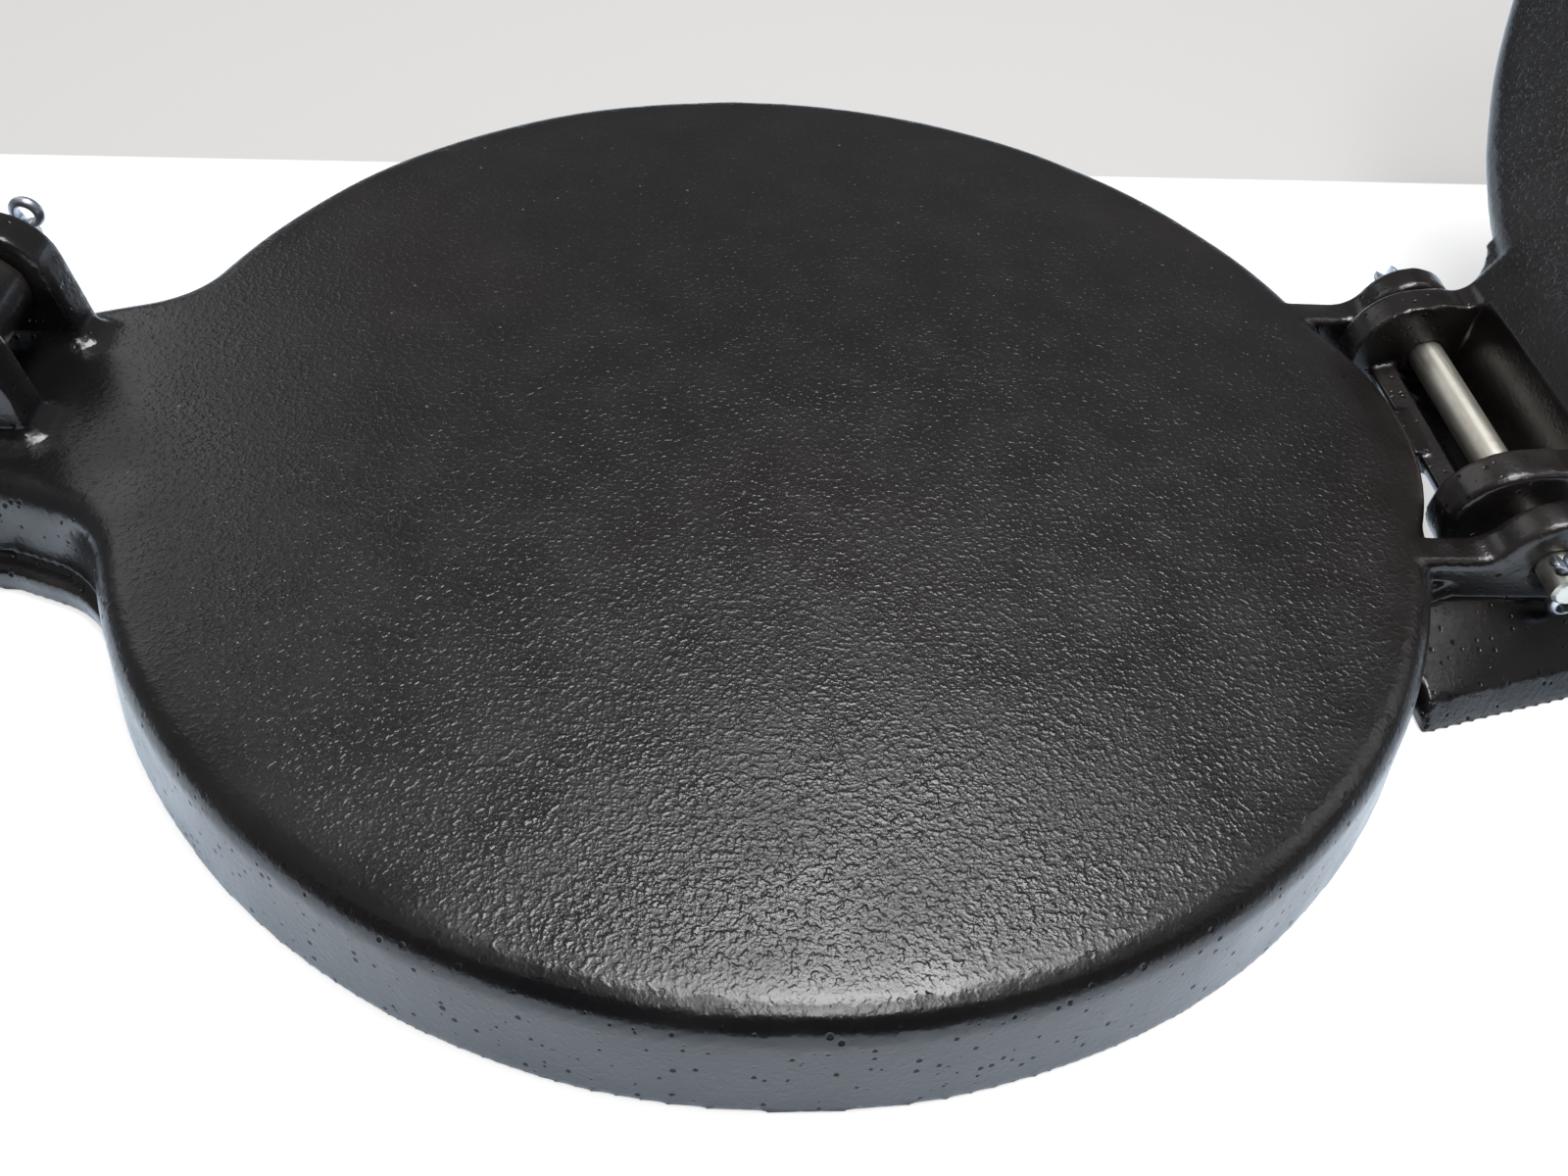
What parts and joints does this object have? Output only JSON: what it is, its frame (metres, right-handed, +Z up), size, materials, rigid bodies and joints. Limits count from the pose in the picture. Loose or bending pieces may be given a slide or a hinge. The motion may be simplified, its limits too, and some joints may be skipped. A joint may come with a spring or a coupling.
{
  "type": "tortilla press",
  "caption": "Cast iron tortilla press with a round base plate, a hinged round press plate that stands open, and a lever laid back in its fork.",
  "frame": {"origin": "centre of the base plate's round pressing face", "axes": "+Z up, out of the pressing face; +X towards the hinge of the press plate; +Y along the pins, to the back seen from the front"},
  "size_m": [0.6755, 0.261, 0.2713],
  "materials": {
    "cast_iron": "satin",
    "steel_pin": "satin",
    "split_wire": "gloss"
  },
  "bodies": {
    "base": {"base_plate": "cast_iron"},
    "press": {"press_plate": "cast_iron"},
    "handle": {"lever": "cast_iron"},
    "hinge_axle": {"hinge_pin": "steel_pin", "hinge_split_pin_front": "split_wire", "hinge_split_pin_back": "split_wire"},
    "lever_axle": {"lever_pin": "steel_pin", "lever_split_pin_front": "split_wire", "lever_split_pin_back": "split_wire"}
  },
  "joints": [
    {"name": "press_hinge", "type": "hinge", "parent": "base", "child": "press", "pos_m": [0.1436, 0, 0], "axis": [0, 1, 0], "range_deg": [-114, 0]},
    {"name": "lever_pivot", "type": "hinge", "parent": "base", "child": "handle", "pos_m": [-0.15, 0.0035, 0.0145], "axis": [0, 1, 0], "range_deg": [0, 176.6]},
    {"name": "hinge_pin_turn", "type": "hinge", "parent": "base", "child": "hinge_axle", "pos_m": [0.1436, 0, 0], "axis": [0, 1, 0], "continuous": true},
    {"name": "lever_pin_turn", "type": "hinge", "parent": "base", "child": "lever_axle", "pos_m": [-0.15, 0.0035, 0.0145], "axis": [0, 1, 0], "continuous": true}
  ]
}
